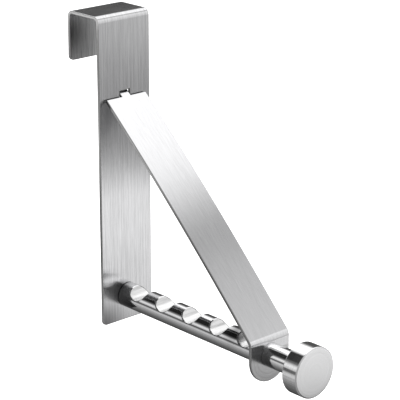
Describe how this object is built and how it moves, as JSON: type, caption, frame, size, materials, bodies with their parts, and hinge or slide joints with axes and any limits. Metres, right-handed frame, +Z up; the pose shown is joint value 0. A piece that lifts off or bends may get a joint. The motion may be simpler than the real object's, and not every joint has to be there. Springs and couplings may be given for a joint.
{
  "type": "over-door clothes valet",
  "caption": "Steel strip bent to hook over a door, with a notched rod for hangers, a sloping strut to the rod's end and a round knob that clamps the strut.",
  "frame": {"origin": "middle of the hook's seat, the underside of the bridge that rests on the door's top edge", "axes": "+Z up, -Y out of the door towards the knob, +X to the right seen from behind the knob's head looking at the door"},
  "size_m": [0.04, 0.1933, 0.1978],
  "materials": {
    "brushed_sheet": "stainless sheet, brushed lengthwise",
    "polished_bar": "turned stainless bar, finely polished",
    "plain_fastener": "plain stainless",
    "rubber": "moulded rubber, matt"
  },
  "bodies": {
    "frame": {"door_hook": "brushed_sheet", "strut": "brushed_sheet", "hanger_rod": "polished_bar", "rod_screw": "plain_fastener", "upper_bumper": "rubber", "lower_bumper": "rubber"},
    "stud": {"knob_stud": "plain_fastener"},
    "knob_head": {"knob": "polished_bar"}
  },
  "joints": [
    {"name": "stud_travel", "type": "slide", "parent": "frame", "child": "stud", "axis": [0, -1, 0], "range_m": [0, 0.006]},
    {"name": "knob_turn", "type": "hinge", "parent": "stud", "child": "knob_head", "pos_m": [0, -0.15, -0.179], "axis": [0, -1, 0], "range_deg": [0, 2300]}
  ],
  "couplings": [
    {"joint": "knob_turn", "follows": "stud_travel", "rad_per_m": 6283.2}
  ]
}
